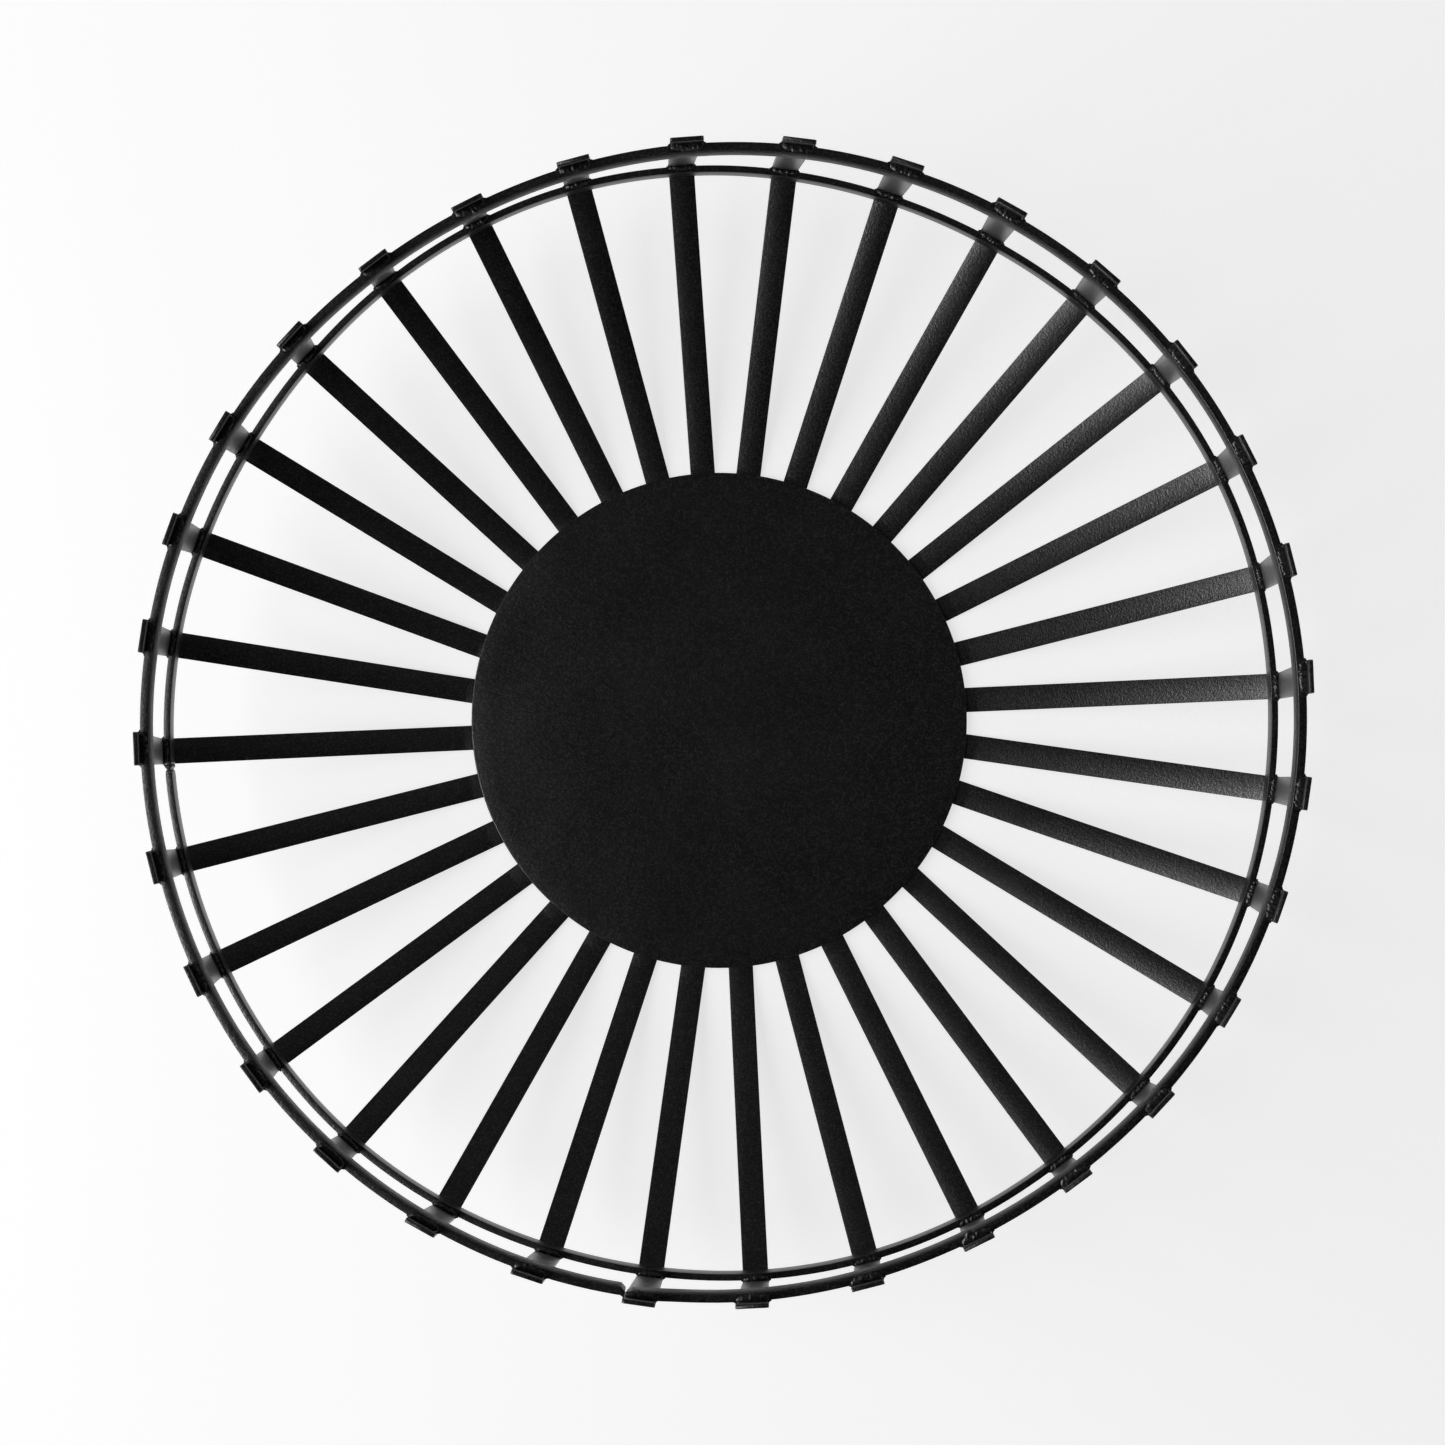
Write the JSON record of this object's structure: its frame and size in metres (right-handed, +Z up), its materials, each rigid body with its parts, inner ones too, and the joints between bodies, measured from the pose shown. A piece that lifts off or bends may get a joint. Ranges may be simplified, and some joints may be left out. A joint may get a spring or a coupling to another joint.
{
  "type": "open metal slat basket",
  "caption": "Round black open basket: flat steel slats fan from a base plate, fold up at a lower hoop and lean in to a smaller hoop round the mouth",
  "frame": {"origin": "middle of the basket's footprint, on the plane that the slats' feet stand on", "axes": "+Z up along the hoops' axis, out of the open mouth; X and Y lie in the plane of the feet, with the first slat 3.9 degrees round from +X"},
  "size_m": [0.5723, 0.5728, 0.297],
  "materials": {
    "black_powder_coat": "satin black powder coat with a fine orange-peel grain",
    "slat_coat": "satin black powder coat on flat bar, slightly thin at the sheared edges",
    "hoop_coat": "satin black powder coat on narrow bar, faint brown cast on the rolled edges",
    "weld_bead": "black powder coat over rippled weld metal"
  },
  "bodies": {
    "root": {"base_plate": "black_powder_coat", "lower_hoop": "hoop_coat", "upper_hoop": "hoop_coat", "slat_01": "slat_coat", "slat_02": "slat_coat", "slat_03": "slat_coat", "slat_04": "slat_coat", "slat_05": "slat_coat", "slat_06": "slat_coat", "slat_07": "slat_coat", "slat_08": "slat_coat", "slat_09": "slat_coat", "slat_10": "slat_coat", "slat_11": "slat_coat", "slat_12": "slat_coat", "slat_13": "slat_coat", "slat_14": "slat_coat", "slat_15": "slat_coat", "slat_16": "slat_coat", "slat_17": "slat_coat", "slat_18": "slat_coat", "slat_19": "slat_coat", "slat_20": "slat_coat", "slat_21": "slat_coat", "slat_22": "slat_coat", "slat_23": "slat_coat", "slat_24": "slat_coat", "slat_25": "slat_coat", "slat_26": "slat_coat", "slat_27": "slat_coat", "slat_28": "slat_coat", "slat_29": "slat_coat", "slat_30": "slat_coat", "slat_31": "slat_coat", "slat_32": "slat_coat", "base_welds": "weld_bead", "lower_hoop_welds": "weld_bead", "upper_hoop_welds": "weld_bead"}
  },
  "joints": []
}
